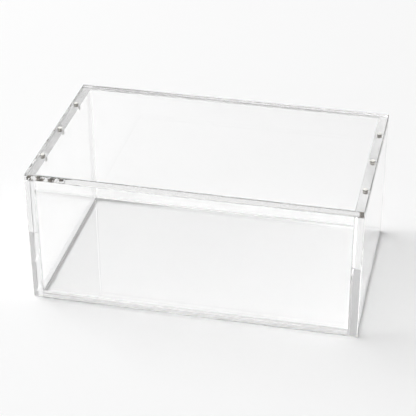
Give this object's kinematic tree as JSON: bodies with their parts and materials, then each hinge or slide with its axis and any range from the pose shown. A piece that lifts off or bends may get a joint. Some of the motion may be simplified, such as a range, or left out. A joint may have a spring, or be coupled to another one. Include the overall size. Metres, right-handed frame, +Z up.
{
  "type": "display case",
  "caption": "Clear acrylic display case: a rectangular box of bonded sheets, open at the top, with a flat lift-off lid held down by small magnets over its thick side walls.",
  "frame": {"origin": "middle of the case's outline, on the table that it stands on", "axes": "+X to the right along the long front, +Y from the front to the back, +Z up out of the lid"},
  "size_m": [0.272, 0.162, 0.1181],
  "materials": {
    "clear_acrylic": "clear cast acrylic sheet with polished edges",
    "magnet": "bright nickel plate with fine wear"
  },
  "bodies": {
    "case": {"base_panel": "clear_acrylic", "left_wall": "clear_acrylic", "right_wall": "clear_acrylic", "front_panel": "clear_acrylic", "back_panel": "clear_acrylic", "wall_magnet_left_front": "magnet", "wall_magnet_left_middle": "magnet", "wall_magnet_left_back": "magnet", "wall_magnet_right_front": "magnet", "wall_magnet_right_middle": "magnet", "wall_magnet_right_back": "magnet"},
    "lid": {"lid_panel": "clear_acrylic", "lid_magnet_left_front": "magnet", "lid_magnet_left_middle": "magnet", "lid_magnet_left_back": "magnet", "lid_magnet_right_front": "magnet", "lid_magnet_right_middle": "magnet", "lid_magnet_right_back": "magnet"}
  },
  "joints": [
    {"name": "lid_lift", "type": "slide", "parent": "case", "child": "lid", "axis": [0, 0, 1], "range_m": [0, 0.12]}
  ]
}
